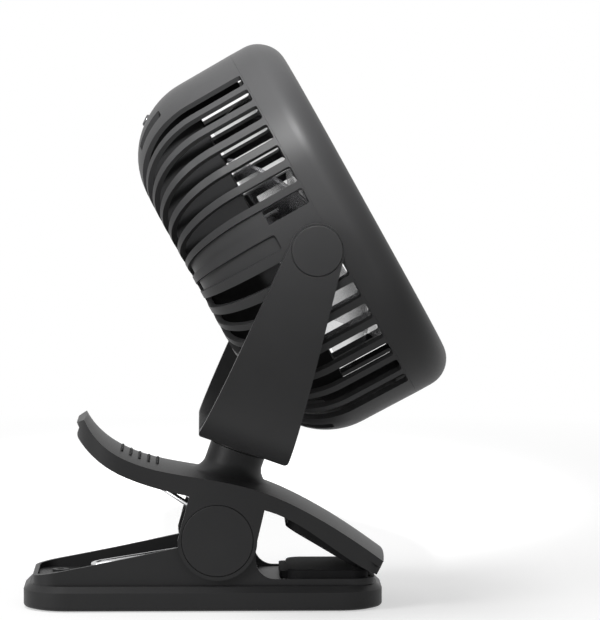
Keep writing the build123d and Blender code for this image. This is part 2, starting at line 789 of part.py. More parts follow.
def rim_point(place):
    """A point on the head's outline and its outward normal, by distance round from mid height."""
    straight = head_half - head_corner
    if place <= straight:
        return Vector(head_half, place), Vector(1, 0)
    turn = (place - straight) / head_corner
    normal = Vector(math.cos(turn), math.sin(turn))
    return Vector(straight, straight) + normal * head_corner, normal


def slot_band(place, across_sign, up_sign):
    """The outline of one slot in the front view: a band that narrows towards the hub."""
    point, normal = rim_point(place)
    point = Vector(point.X * across_sign, point.Y * up_sign)
    normal = Vector(normal.X * across_sign, normal.Y * up_sign)
    side = Vector(-normal.Y, normal.X) * (slot_width / 2)
    inward = point.normalized()
    hub_side = Vector(-inward.Y, inward.X) * (slot_inner_width / 2)
    hub = inward * slot_hub_radius
    outer = point + normal * slot_width
    return [outer + side, point + side, hub + hub_side, hub - hub_side, point - side, outer - side]


def slot_cutter(bands, front, back):
    """Solids of slot bands between two distances in front of the pivot axis."""
    with BuildPart() as cutter:
        with BuildSketch(front_plane.offset(back)):
            for band in bands:
                with BuildLine():
                    Polyline(*band, band[0])
                make_face()
        extrude(amount=front - back)
        front_edges = cutter.faces().group_by(Axis(head_centre, head_axis))[-1].edges()
        fillet(front_edges, slot_end_round)
    return cutter.part


middle_place = slot_first / 3
slot_front = parting - slot_rim
behind = -head_back - 1.0
quadrants = [(1, 1), (-1, 1), (1, -1), (-1, -1)]
long_bands = [
    slot_band(slot_first + slot_pitch * index, across, up)
    for index in range(1, slot_count)
    for across, up in quadrants
] + [slot_band(slot_first, across, -1) for across in (1, -1)]
upper_bands = [slot_band(slot_first, across, 1) for across in (1, -1)]
middle_bands = [slot_band(middle_place, across, 1) for across in (1, -1)]
lower_bands = [slot_band(middle_place, across, -1) for across in (1, -1)]
slit_bands = [slot_band(top_slit_place, across, up) for across, up in quadrants]

with BuildPart() as blind_cutter:
    add(slot_cutter(middle_bands, band_front, behind))
    add(slot_cutter(upper_bands, slot_front, behind))
    add(head_block(blind_slot_depth), mode=Mode.SUBTRACT)

# ================================================================ button, socket and board places
rise = math.radians(button_angle)
button_out = head_up * math.sin(rise) - head_axis * math.cos(rise)
shoulder_centre = head_centre + head_up * shoulder_up + head_axis * shoulder_front
button_place = shoulder_centre + button_out * head_shoulder
button_plane = Plane(origin=button_place, x_dir=(0, 1, 0), z_dir=button_out)
board_plane = button_plane.offset(-board_depth)
flange_sag = (button_height / 2 + button_lip) ** 2 / (2 * (head_shoulder - head_wall))
flange_top = -head_wall - flange_sag - running_gap

# ================================================================ rear housing
with BuildPart() as rear_housing:
    add(head_block(0))
    add(head_block(head_wall), mode=Mode.SUBTRACT)
    add(slot_cutter(long_bands, slot_front, behind), mode=Mode.SUBTRACT)
    add(slot_cutter(upper_bands, slot_front, band_front), mode=Mode.SUBTRACT)
    add(slot_cutter(lower_bands, band_front, behind), mode=Mode.SUBTRACT)
    add(slot_cutter(slit_bands, top_slit_front, top_slit_back), mode=Mode.SUBTRACT)
    add(blind_cutter.part, mode=Mode.SUBTRACT)
    for side in (-1, 1):
        outward = Vector(0, side, 0)
        with BuildSketch(Plane(origin=pivot + outward * (head_half + pivot_boss_proud), z_dir=outward)):
            Circle(pivot_boss_radius)
            Circle(pivot_screw_radius + running_gap, mode=Mode.SUBTRACT)
        extrude(amount=-pivot_boss_proud - head_wall - pivot_boss_inside)
    with BuildSketch(board_plane):
        with Locations(*[(place, 0) for place in post_places]):
            Circle(post_radius)
    extrude(amount=board_depth - head_wall / 2)
    add(side_hole(pivot_plane, pivot_screw_radius + running_gap, head_half + 4), mode=Mode.SUBTRACT)
    with BuildSketch(board_plane):
        with Locations(*[(place, 0) for place in post_places]):
            Circle(small_screw_radius + running_gap)
    extrude(amount=post_hole_depth, mode=Mode.SUBTRACT)
    with BuildSketch(button_plane.offset(-2 * head_wall)):
        SlotOverall(button_length + 2 * button_gap, button_height + 2 * button_gap)
        with Locations((socket_place, 0)):
            RectangleRounded(socket_width + 2 * seat_gap, socket_height + 2 * seat_gap, socket_height / 2)
    extrude(amount=3 * head_wall, mode=Mode.SUBTRACT)
    with BuildSketch(rear_plane.offset(head_back - head_wall)):
        with PolarLocations(motor_screw_ring, motor_screw_count, start_angle=45):
            Circle(small_screw_radius + running_gap)
    extrude(amount=motor_screw_bite, mode=Mode.SUBTRACT)
save(rear_housing, "rear_housing")

# ================================================================ front bezel, grille and badge
def bezel_block(inset):
    """The head's front form, shrunk by an inset and open at the parting plane."""
    with BuildPart() as block:
        with BuildSketch(front_plane.offset(parting)):
            RectangleRounded(head_size - 2 * inset, head_size - 2 * inset, head_corner - inset)
        extrude(amount=bezel_depth - inset)
        front_face = block.faces().sort_by(Axis(head_centre, head_axis))[-1]
        fillet(front_face.edges(), head_front_round - inset)
    return block.part


grille_front = head_front - grille_recess
grille_back = grille_front - grille_thickness
with BuildPart() as front_bezel:
    add(bezel_block(0))
    add(bezel_block(head_wall), mode=Mode.SUBTRACT)
    with BuildSketch(front_plane.offset(grille_back - ledge_thickness)):
        Circle(grille_opening + head_wall)
    extrude(amount=grille_thickness + ledge_thickness + grille_recess / 3)
    with BuildSketch(front_plane.offset(grille_back - ledge_thickness)):
        Circle(grille_opening - grille_rim_width)
    extrude(amount=ledge_thickness, mode=Mode.SUBTRACT)
    with BuildSketch(front_plane.offset(grille_back)):
        Circle(grille_opening)
    extrude(amount=grille_thickness + grille_recess, mode=Mode.SUBTRACT)
    with BuildSketch(front_plane.offset(parting - tongue_reach)):
        tongue_place = head_half - head_wall - seat_gap - tongue_thickness / 2
        with Locations(*[(across, up) for across in (-tongue_spread, tongue_spread)
                         for up in (-tongue_place, tongue_place)]):
            Rectangle(tongue_width, tongue_thickness)
    extrude(amount=tongue_reach + tongue_root)
    with BuildSketch(front_plane.offset(parting)):
        root_place = head_half - head_wall / 2 - tongue_thickness
        with Locations(*[(across, up) for across in (-tongue_spread, tongue_spread)
                         for up in (-root_place, root_place)]):
            Rectangle(tongue_width, head_wall + seat_gap)
    extrude(amount=tongue_root)
    add(side_hole(pivot_plane, pivot_boss_radius + seat_gap, head_half + 4), mode=Mode.SUBTRACT)
save(front_bezel, "front_bezel")

spoke_inner = grille_hub_radius - 1.0
spoke_outer = grille_opening - grille_rim_width / 2
spoke_bow = math.radians(grille_swirl)


def spoke_point(radius, share):
    return Vector(radius * math.cos(spoke_bow * share), radius * math.sin(spoke_bow * share))


with BuildSketch(mode=Mode.PRIVATE) as spoke:
    with BuildLine():
        ThreePointArc(
            spoke_point(spoke_inner, 0),
            spoke_point((spoke_inner + spoke_outer) / 2, 0.34),
            spoke_point(spoke_outer, 1),
        )
    trace(line_width=grille_spoke_width)

with BuildPart() as front_grille:
    with BuildSketch(front_plane.offset(grille_back)):
        Circle(grille_opening - seat_gap)
        Circle(grille_opening - grille_rim_width, mode=Mode.SUBTRACT)
        Circle(grille_hub_radius)
        for radius in grille_ring_radii:
            with BuildSketch(mode=Mode.PRIVATE) as ring:
                Circle(radius + grille_ring_width / 2)
                Circle(radius - grille_ring_width / 2, mode=Mode.SUBTRACT)
            add(ring.sketch)
        with PolarLocations(0, grille_spokes):
            add(spoke.sketch)
    extrude(amount=grille_thickness)
save(front_grille, "front_grille")

with BuildPart() as grille_badge:
    with BuildSketch(front_plane.offset(grille_front)):
        Circle(badge_radius)
    extrude(amount=badge_thickness)
    badge_rim = grille_badge.edges().sort_by(Axis(head_centre, head_axis))[-1]
    fillet(badge_rim, badge_thickness / 2)
save(grille_badge, "grille_badge")

# ================================================================ impeller and shaft
impeller_back = impeller_front - impeller_hub_depth
impeller_middle = (impeller_front + impeller_back) / 2


def blade_section(share):
    """A cambered blade section: share 0 lies inside the hub wall and share 1 past the tip."""
    radius = impeller_hub_radius - impeller_wall / 2 + (blade_reach - impeller_hub_radius) * share
    chord = blade_root_chord + (blade_tip_chord - blade_root_chord) * share
    pitch = math.radians(blade_root_pitch + (blade_tip_pitch - blade_root_pitch) * share)
    sweep_back = blade_sweep * share ** 2
    radial = Vector(0, math.cos(sweep_back), 0) + head_up * math.sin(sweep_back)
    around = head_up * math.cos(sweep_back) - Vector(0, math.sin(sweep_back), 0)
    origin = head_centre + head_axis * impeller_middle + radial * radius
    along = around * math.cos(pitch) + head_axis * math.sin(pitch)
    edge = blade_thickness / 3
    bow = chord * blade_camber
    with BuildSketch(Plane(origin=origin, x_dir=along, z_dir=radial)) as section:
        with BuildLine():
            upper = ThreePointArc((-chord / 2, edge), (0, bow + blade_thickness / 2), (chord / 2, edge))
            lower = ThreePointArc((-chord / 2, -edge), (0, bow - blade_thickness / 2), (chord / 2, -edge))
            Line(upper @ 0, lower @ 0)
            Line(upper @ 1, lower @ 1)
        make_face()
    return section.sketch


with BuildPart() as blade:
    add(loft([blade_section(share) for share in (0, 0.33, 0.67, 1)]))
    with BuildPart(front_plane.offset(impeller_middle), mode=Mode.INTERSECT):
        Cylinder(blade_tip_radius, 2 * impeller_hub_depth)

with BuildPart() as impeller:
    with BuildSketch(front_plane.offset(impeller_back)):
        Circle(impeller_hub_radius)
    extrude(amount=impeller_hub_depth)
    hub_rim = impeller.faces().sort_by(Axis(head_centre, head_axis))[-1].edges()
    fillet(hub_rim, impeller_hub_round)
    for step in range(blade_count):
        add(blade.part.rotate(Axis(head_centre, head_axis), 360 / blade_count * step))
    with BuildSketch(front_plane.offset(impeller_back)):
        Circle(impeller_hub_radius - impeller_wall)
    extrude(amount=impeller_hub_depth - impeller_wall, mode=Mode.SUBTRACT)
    with BuildSketch(front_plane.offset(motor_front + impeller_boss_gap)):
        Circle(impeller_boss_radius)
    extrude(amount=impeller_front - impeller_wall / 2 - motor_front - impeller_boss_gap)
    with BuildSketch(front_plane.offset(motor_front)):
        Circle(shaft_radius + running_gap)
    extrude(amount=shaft_front - motor_front + running_gap, mode=Mode.SUBTRACT)
save(impeller, "impeller")

with BuildPart() as motor_shaft:
    with BuildSketch(front_plane.offset(shaft_back)):
        Circle(shaft_radius)
    extrude(amount=shaft_front - shaft_back)
save(motor_shaft, "motor_shaft")

with BuildPart() as motor_rotor:
    with BuildSketch(front_plane.offset(rotor_back)):
        Circle(rotor_radius)
        with PolarLocations(rotor_radius, rotor_slots):
            Rectangle(rotor_slot_depth * 2, rotor_slot_width, mode=Mode.SUBTRACT)
        Circle(shaft_radius + running_gap, mode=Mode.SUBTRACT)
    extrude(amount=rotor_front - rotor_back)
save(motor_rotor, "motor_rotor")

# ================================================================ motor, bushes and bracket
can_back = motor_back + end_bell_depth
with BuildPart() as motor_can:
    with BuildSketch(front_plane.offset(can_back)):
        Circle(motor_radius)
    extrude(amount=motor_front - can_back)
    with BuildSketch(front_plane.offset(can_back)):
        Circle(motor_radius - can_wall)
    extrude(amount=motor_front - can_back - bush_length, mode=Mode.SUBTRACT)
    with BuildSketch(front_plane.offset(can_back)):
        Circle(bush_radius + running_gap)
    extrude(amount=motor_front - can_back, mode=Mode.SUBTRACT)
save(motor_can, "motor_can")

with BuildPart() as motor_end_bell:
    with BuildSketch(front_plane.offset(motor_back)):
        Circle(motor_radius)
    extrude(amount=end_bell_depth)
    with BuildSketch(front_plane.offset(can_back)):
        Circle(motor_radius - can_wall - running_gap)
    extrude(amount=end_bell_spigot)
    with BuildSketch(front_plane.offset(can_back + end_bell_spigot - bush_length)):
        Circle(bush_radius + running_gap)
    extrude(amount=bush_length, mode=Mode.SUBTRACT)
    with BuildSketch(front_plane.offset(shaft_back - running_gap)):
        Circle(shaft_radius + 4 * running_gap)
    extrude(amount=end_bell_depth, mode=Mode.SUBTRACT)
save(motor_end_bell, "motor_end_bell")

with BuildPart() as motor_bushes:
    for place in (motor_front - bush_length, can_back + end_bell_spigot - bush_length):
        with BuildSketch(front_plane.offset(place)):
            Circle(bush_radius)
            Circle(shaft_radius + running_gap, mode=Mode.SUBTRACT)
        extrude(amount=bush_length)
save(motor_bushes, "motor_bushes")

wall_inside = head_wall - head_back
case_middle = (case_low + case_high) / 2
case_inner = case_half_width - case_wall
with BuildPart() as motor_bracket:
    with BuildSketch(front_plane.offset(wall_inside)):
        with Locations((0, case_middle)):
            RectangleRounded(2 * case_half_width, case_high - case_low, case_corner)
        for side in (-1, 1):
            with Locations((side * (case_inner + case_wall / 2), case_high)):
                Rectangle(case_wall, 2 * case_wing_reach)
    extrude(amount=case_front - wall_inside)
    with BuildSketch(front_plane.offset(case_front)):
        for side in (-1, 1):
            with Locations((side * (case_inner + case_wall / 2), (case_wing_low + head_half) / 2)):
                Rectangle(case_wall, head_half - case_wing_low)
    extrude(amount=case_wing_front - case_front)
    with BuildSketch(front_plane.offset(wall_inside)):
        with Locations((0, case_middle)):
            RectangleRounded(2 * case_inner, case_high - case_low - 2 * case_wall, case_corner - case_wall)
    extrude(amount=case_front - case_wall - wall_inside, mode=Mode.SUBTRACT)
    add(head_block(head_wall + running_gap), mode=Mode.INTERSECT)
    with BuildSketch(front_plane.offset(wall_inside)):
        Circle(bracket_flange_radius)
        with PolarLocations(motor_screw_ring, motor_screw_count, start_angle=45):
            Circle(small_screw_radius + running_gap, mode=Mode.SUBTRACT)
    extrude(amount=bracket_flange_thickness)
    with BuildSketch(front_plane.offset(wall_inside)):
        Circle(motor_radius + running_gap + bracket_wall)
    extrude(amount=case_front - wall_inside)
    with BuildSketch(front_plane.offset(motor_back)):
        Circle(motor_radius + running_gap)
    extrude(amount=motor_front - motor_back, mode=Mode.SUBTRACT)
save(motor_bracket, "motor_bracket")

cell_front = case_front - case_wall - seat_gap - cell_radius
with BuildPart() as battery_cells:
    cell_inset = case_wall + seat_gap + cell_radius
    for cell_up in (case_high - cell_inset, case_low + cell_inset):
        cell_middle = head_centre + head_up * cell_up + head_axis * cell_front
        with BuildSketch(Plane(origin=cell_middle, z_dir=(0, 1, 0))):
            Circle(cell_radius)
        extrude(amount=cell_length / 2, both=True)
save(battery_cells, "battery_cells")

with BuildPart() as motor_screws:
    with BuildSketch(front_plane.offset(wall_inside - motor_screw_bite + 0.3)):
        with PolarLocations(motor_screw_ring, motor_screw_count, start_angle=45):
            Circle(small_screw_radius)
    extrude(amount=motor_screw_bite - 0.3 + bracket_flange_thickness)
    with BuildSketch(front_plane.offset(wall_inside + bracket_flange_thickness)):
        with PolarLocations(motor_screw_ring, motor_screw_count, start_angle=45):
            Circle(small_screw_head_radius)
    extrude(amount=small_screw_head_height)
save(motor_screws, "motor_screws")

# ================================================================ control board, switch and socket
with BuildPart() as control_board:
    with BuildSketch(board_plane):
        with Locations(((board_left + board_right) / 2, 0)):
            RectangleRounded(board_right - board_left, board_height, 1.0)
        with Locations(*[(place, 0) for place in post_places]):
            Circle(small_screw_radius + running_gap, mode=Mode.SUBTRACT)
    extrude(amount=-board_thickness)
save(control_board, "control_board")

with BuildPart() as board_screws:
    with BuildSketch(board_plane.offset(-board_thickness)):
        with Locations(*[(place, 0) for place in post_places]):
            Circle(small_screw_radius)
    extrude(amount=board_thickness + post_hole_depth - 0.5)
    with BuildSketch(board_plane.offset(-board_thickness)):
        with Locations(*[(place, 0) for place in post_places]):
            Circle(small_screw_head_radius)
    extrude(amount=-small_screw_head_height)
save(board_screws, "board_screws")

stem_end = flange_top - button_flange - stem_length
switch_top = stem_end - button_travel - running_gap
with BuildPart() as tact_switch:
    with BuildSketch(board_plane):
        Rectangle(switch_size, switch_size)
    extrude(amount=switch_body_height)
    with BuildSketch(board_plane):
        Circle(stem_radius)
    extrude(amount=switch_top + board_depth)
save(tact_switch, "tact_switch")

with BuildPart() as usb_socket:
    with BuildSketch(board_plane):
        with Locations((socket_place, 0)):
            RectangleRounded(socket_width, socket_height, socket_height / 2 - 0.05)
            RectangleRounded(
                socket_width - 2 * socket_wall, socket_height - 2 * socket_wall,
                socket_height / 2 - socket_wall - 0.05, mode=Mode.SUBTRACT,
            )
    extrude(amount=board_depth - socket_inset)
    with BuildSketch(board_plane):
        with Locations((socket_place, 0)):
            RectangleRounded(socket_width, socket_height, socket_height / 2 - 0.05)
    extrude(amount=socket_floor)
    with BuildSketch(board_plane):
        with Locations((socket_place, 0)):
            Rectangle(socket_tongue_width, socket_tongue_thickness)
    extrude(amount=board_depth - socket_inset - 1.0)
save(usb_socket, "usb_socket")

with BuildPart() as power_button:
    with BuildSketch(button_plane.offset(flange_top - button_flange)):
        SlotOverall(button_length, button_height)
    extrude(amount=button_proud - flange_top + button_flange)
    crown_edges = power_button.faces().sort_by(Axis(button_place, button_out))[-1].edges()
    fillet(crown_edges, button_round)
    with BuildSketch(button_plane.offset(flange_top - button_flange)):
        SlotOverall(button_length + 2 * button_lip, button_height + 2 * button_lip)
    extrude(amount=button_flange)
    with BuildSketch(button_plane.offset(stem_end)):
        Circle(stem_radius)
    extrude(amount=stem_length)
save(power_button, "power_button")
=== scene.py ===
import json
import math

import bmesh
import bpy
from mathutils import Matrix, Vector


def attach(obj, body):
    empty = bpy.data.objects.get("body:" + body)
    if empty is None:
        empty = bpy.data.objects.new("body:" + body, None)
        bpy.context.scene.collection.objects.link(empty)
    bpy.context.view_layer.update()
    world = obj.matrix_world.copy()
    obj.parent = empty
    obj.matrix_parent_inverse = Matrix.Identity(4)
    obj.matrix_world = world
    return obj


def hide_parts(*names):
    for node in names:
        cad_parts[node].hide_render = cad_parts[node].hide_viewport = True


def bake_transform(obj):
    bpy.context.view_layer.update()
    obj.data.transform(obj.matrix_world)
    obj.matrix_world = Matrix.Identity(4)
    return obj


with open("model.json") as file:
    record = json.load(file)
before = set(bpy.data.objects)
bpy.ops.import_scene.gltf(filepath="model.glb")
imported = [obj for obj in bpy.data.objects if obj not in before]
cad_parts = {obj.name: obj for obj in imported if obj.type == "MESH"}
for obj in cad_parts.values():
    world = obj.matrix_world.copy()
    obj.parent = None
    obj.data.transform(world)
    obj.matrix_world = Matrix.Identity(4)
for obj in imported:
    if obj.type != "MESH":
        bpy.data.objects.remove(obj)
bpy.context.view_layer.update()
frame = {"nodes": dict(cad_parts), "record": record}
nodes = frame["nodes"]
bodies = frame["record"]["behaviour"]["bodies"]
bodyOfNode = {name: body for body, names in bodies.items() for name in names}
print("frame loaded:", len(nodes), "nodes")


# Materials. Every pattern reads Object coordinates. Lengths in this script are in metres.

noiseSpan = (0.3, 0.7)  # most of a noise texture's values lie in here


def newMaterial(name):
    material = bpy.data.materials.new(name)
    material.use_nodes = True
    return material.node_tree, material.node_tree.nodes["Principled BSDF"]


def objectNoise(tree, scale, detail, roughness=0.55, stretch=(1, 1, 1)):
    coords = tree.nodes.new("ShaderNodeTexCoord")
    mapping = tree.nodes.new("ShaderNodeMapping")
    mapping.inputs["Scale"].default_value = stretch
    noise = tree.nodes.new("ShaderNodeTexNoise")
    noise.inputs["Scale"].default_value = scale
    noise.inputs["Detail"].default_value = detail
    noise.inputs["Roughness"].default_value = roughness
    tree.links.new(coords.outputs["Object"], mapping.inputs["Vector"])
    tree.links.new(mapping.outputs["Vector"], noise.inputs["Vector"])
    return noise.outputs["Fac"]


def rampBetween(tree, value, low, high, span=noiseSpan):
    ramp = tree.nodes.new("ShaderNodeMapRange")
    ramp.inputs["From Min"].default_value, ramp.inputs["From Max"].default_value = span
    ramp.inputs["To Min"].default_value = low
    ramp.inputs["To Max"].default_value = high
    tree.links.new(value, ramp.inputs["Value"])
    return ramp.outputs["Result"]


def shade(tone, share):
    return tuple(channel * share for channel in tone)


def colourBetween(tree, shader, value, dark, light):
    ramp = tree.nodes.new("ShaderNodeValToRGB")
    for element, place, tone in zip(ramp.color_ramp.elements, noiseSpan, (dark, light)):
        element.position = place
        element.color = (*tone, 1)
    tree.links.new(value, ramp.inputs["Fac"])
    tree.links.new(ramp.outputs["Color"], shader.inputs["Base Color"])


def roughnessAround(tree, shader, value, roughness, spread):
    level = rampBetween(tree, value, roughness - spread, roughness + spread)
    tree.links.new(level, shader.inputs["Roughness"])


def addBump(tree, shader, value, strength, depth):
    bump = tree.nodes.new("ShaderNodeBump")
    bump.inputs["Strength"].default_value = strength
    bump.inputs["Distance"].default_value = depth
    tree.links.new(value, bump.inputs["Height"])
    tree.links.new(bump.outputs["Normal"], shader.inputs["Normal"])


# drift is how far the tone wanders over a surface, and grain how strong its fine texture is
plasticLooks = {
    "satinBlack": dict(tone=(0.021, 0.021, 0.0215), drift=0.06, driftScale=40,
                       grain=0.3, grainScale=2600, grainDepth=0.00003, roughness=0.46, gloss=0.17),
    "smoothBlack": dict(tone=(0.017, 0.017, 0.0175), drift=0.05, driftScale=60,
                        grain=0.2, grainScale=3200, grainDepth=0.00002, roughness=0.42, gloss=0.22),
    "buttonBlack": dict(tone=(0.02, 0.02, 0.021), drift=0.05, driftScale=80,
                        grain=0.15, grainScale=3600, grainDepth=0.00002, roughness=0.28, gloss=0.4),
    # the inner black is made far darker than the outer black, painted shade for the dim inside of the
    # head
    "innerBlack": dict(tone=(0.006, 0.006, 0.0062), drift=0.06, driftScale=60,
                       grain=0.5, grainScale=1500, grainDepth=0.00005, roughness=0.75, gloss=0.08),
    "padRubber": dict(tone=(0.0075, 0.0075, 0.008), drift=0.12, driftScale=90,
                      grain=0.6, grainScale=1800, grainDepth=0.00006, roughness=0.8, gloss=0.16),
    "motorWhite": dict(tone=(0.7, 0.69, 0.64), drift=0.04, driftScale=80,
                       grain=0.2, grainScale=2600, grainDepth=0.00003, roughness=0.5, gloss=0.4),
    "boardGreen": dict(tone=(0.02, 0.13, 0.055), drift=0.15, driftScale=300,
                       grain=0.2, grainScale=2200, grainDepth=0.00003, roughness=0.35, gloss=0.5),
    "cellWrap": dict(tone=(0.03, 0.1, 0.26), drift=0.08, driftScale=120,
                     grain=0.1, grainScale=2200, grainDepth=0.00002, roughness=0.25, gloss=0.5),
}
plasticFinish = dict(driftDetail=3, grainDetail=5, roughnessSpread=0.05)


def mouldedPlastic(name, look):
    tree, shader = newMaterial(name)
    drift = objectNoise(tree, look["driftScale"], plasticFinish["driftDetail"])
    dark = shade(look["tone"], 1 - look["drift"])
    light = shade(look["tone"], 1 + look["drift"])
    colourBetween(tree, shader, drift, dark, light)
    grain = objectNoise(tree, look["grainScale"], plasticFinish["grainDetail"])
    roughnessAround(tree, shader, grain, look["roughness"], plasticFinish["roughnessSpread"])
    addBump(tree, shader, grain, look["grain"], look["grainDepth"])
    shader.inputs["Specular IOR Level"].default_value = look["gloss"]


for plasticName, plasticLook in plasticLooks.items():
    mouldedPlastic(plasticName, plasticLook)


# a stretch below 1 draws the scratches out along that axis
metalLooks = {
    "springSteel": dict(tone=(0.66, 0.66, 0.67), lineScale=900, stretch=(0.15, 1, 1), roughness=0.26),
    "turnedSteel": dict(tone=(0.56, 0.56, 0.57), lineScale=1200, stretch=(1, 0.2, 1), roughness=0.3),
    "zincSteel": dict(tone=(0.5, 0.5, 0.51), lineScale=700, stretch=(1, 1, 1), roughness=0.42),
    "castIron": dict(tone=(0.17, 0.165, 0.16), lineScale=1500, stretch=(1, 1, 1), roughness=0.65),
    "sinteredBrass": dict(tone=(0.62, 0.46, 0.2), lineScale=2400, stretch=(1, 1, 1), roughness=0.5),
}
metalFinish = dict(lineDetail=6, lineRoughness=0.6, darkShare=0.86, roughnessSpread=0.08,
                   lines=0.3, lineDepth=0.00003)


def workedMetal(name, look):
    tree, shader = newMaterial(name)
    scratch = objectNoise(tree, look["lineScale"], metalFinish["lineDetail"],
                          metalFinish["lineRoughness"], look["stretch"])
    dark = shade(look["tone"], metalFinish["darkShare"])
    colourBetween(tree, shader, scratch, dark, look["tone"])
    roughnessAround(tree, shader, scratch, look["roughness"], metalFinish["roughnessSpread"])
    addBump(tree, shader, scratch, metalFinish["lines"], metalFinish["lineDepth"])
    shader.inputs["Metallic"].default_value = 1.0


for metalName, metalLook in metalLooks.items():
    workedMetal(metalName, metalLook)


# the blades are thin smoky plastic: their flats let light through and their edges look dark
bladeLook = dict(tone=(0.22, 0.22, 0.23), darkShare=0.8, roughness=0.18, cloudScale=120, cloudDetail=3,
                 grain=0.15, grainScale=1800, grainDetail=4, grainDepth=0.00003,
                 facingBlend=0.5, facingSpan=(0.45, 0.98), flatCover=0.2, edgeCover=0.85)


def smokedPlastic(look):
    tree, shader = newMaterial("smokedPlastic")
    cloud = objectNoise(tree, look["cloudScale"], look["cloudDetail"])
    colourBetween(tree, shader, cloud, shade(look["tone"], look["darkShare"]), look["tone"])
    grain = objectNoise(tree, look["grainScale"], look["grainDetail"])
    addBump(tree, shader, grain, look["grain"], look["grainDepth"])
    shader.inputs["Roughness"].default_value = look["roughness"]
    facing = tree.nodes.new("ShaderNodeLayerWeight")
    facing.inputs["Blend"].default_value = look["facingBlend"]
    cover = rampBetween(tree, facing.outputs["Facing"], look["flatCover"], look["edgeCover"],
                        look["facingSpan"])
    tree.links.new(cover, shader.inputs["Alpha"])


smokedPlastic(bladeLook)
print("materials made:", len(bpy.data.materials))


# These nodes are shown by a copy with softened edges, like moulded ones. sharpAngle is in degrees.

softEdges = {
    "base_plate": dict(edge=0.00035, finish="satinBlack"),
    "lower_shell": dict(edge=0.0003, finish="satinBlack"),
    "clamp_lever": dict(edge=0.0005, finish="satinBlack"),
    "yoke": dict(edge=0.0006, finish="satinBlack"),
    "rear_housing": dict(edge=0.0003, finish="satinBlack"),
    "front_bezel": dict(edge=0.0003, finish="satinBlack"),
    "front_grille": dict(edge=0.0003, finish="satinBlack"),
    "lower_jaw_pad": dict(edge=0.0003, finish="padRubber"),
    "upper_jaw_pad": dict(edge=0.0003, finish="padRubber"),
}
skinSetup = dict(mergeDistance=0.000002, sharpAngle=32, edgeSegments=2)


def nodeSkin(nodeName, finish):
    mesh = nodes[nodeName].data.copy()
    shape = bmesh.new()
    shape.from_mesh(mesh)
    bmesh.ops.remove_doubles(shape, verts=shape.verts, dist=skinSetup["mergeDistance"])
    for face in shape.faces:
        face.smooth = True
    shape.to_mesh(mesh)
    shape.free()
    mesh.materials.clear()
    mesh.materials.append(bpy.data.materials[finish])
    if "custom_normal" in mesh.attributes:  # these no longer fit the merged mesh
        mesh.attributes.remove(mesh.attributes["custom_normal"])
    skin = bpy.data.objects.new(nodeName + "_skin", mesh)
    bpy.context.scene.collection.objects.link(skin)
    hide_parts(nodeName)
    return skin


def softenNode(nodeName, look):
    skin = nodeSkin(nodeName, look["finish"])
    bevel = skin.modifiers.new("soft edges", "BEVEL")
    bevel.width = look["edge"]
    bevel.segments = skinSetup["edgeSegments"]
    bevel.limit_method = "ANGLE"
    bevel.angle_limit = math.radians(skinSetup["sharpAngle"])
    bevel.harden_normals = True
    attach(skin, bodyOfNode[nodeName])


for nodeName, softLook in softEdges.items():
    softenNode(nodeName, softLook)
print("softened nodes:", len(softEdges))


# The clamp spring sits between the base and the lever, within 4 mm of the hinge pin's axis, and is
# shown by a smooth copy with its placement baked in.

springLook = dict(finish="springSteel", start=(0.006, 0, 0.0253), end=(0.006, 0, 0.0333))
springSkin = nodeSkin("torsion_spring", springLook["finish"])
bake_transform(springSkin)


# The other nodes keep their CAD shape and only get a finish.

plainNodes = {
    "smoothBlack": ("hinge_caps", "pivot_caps"),
    "satinBlack": ("grip_beads",),
    "innerBlack": ("motor_bracket",),
    "buttonBlack": ("grille_badge", "power_button", "tact_switch"),
    # the motor bracket takes the darker inner black, painted shade inside the head
    "padRubber": ("foot_pad",),
    "motorWhite": ("motor_end_bell",),
    "boardGreen": ("control_board",),
    "cellWrap": ("battery_cells",),
    "turnedSteel": ("hinge_pin", "swivel_washer", "motor_shaft", "motor_can", "usb_socket"),
    "zincSteel": ("swivel_screw", "base_screws", "pivot_screws", "motor_screws", "board_screws"),
    "castIron": ("ballast_plate", "motor_rotor"),
    "sinteredBrass": ("motor_bushes",),
    "smokedPlastic": ("impeller",),
}
for finish, nodeNames in plainNodes.items():
    for nodeName in nodeNames:
        nodes[nodeName].data.materials.clear()
        nodes[nodeName].data.materials.append(bpy.data.materials[finish])
print("plain nodes given materials:", sum(len(nodeNames) for nodeNames in plainNodes.values()))


# The floor and the world look white where they are seen, and light the fan at a plain level.

def seenDirectly(tree):
    rays = tree.nodes.new("ShaderNodeLightPath")
    seen = rays.outputs["Is Camera Ray"]
    for ray in ("Is Glossy Ray", "Is Transmission Ray"):
        either = tree.nodes.new("ShaderNodeMath")
        either.operation = "MAXIMUM"
        tree.links.new(seen, either.inputs[0])
        tree.links.new(rays.outputs[ray], either.inputs[1])
        seen = either.outputs[0]
    return seen


def mixShaders(tree, share, first, second):
    mix = tree.nodes.new("ShaderNodeMixShader")
    for socket, source in enumerate((share, first, second)):
        tree.links.new(source, mix.inputs[socket])
    return mix.outputs[0]


def greyOf(level):
    return (level, level, level, 1)


# bounceTone lights the fan from below, shadowTone and glow show the floor with the fan's shadow,
# and shadowReach is how far out the shown floor fades to plain white
floorLook = dict(radius=14.0, sides=96, drop=0.0002, bounceTone=0.8, bounceRoughness=0.9,
                 shadowTone=0.62, glow=0.5, shadowReach=(0.35, 0.9))


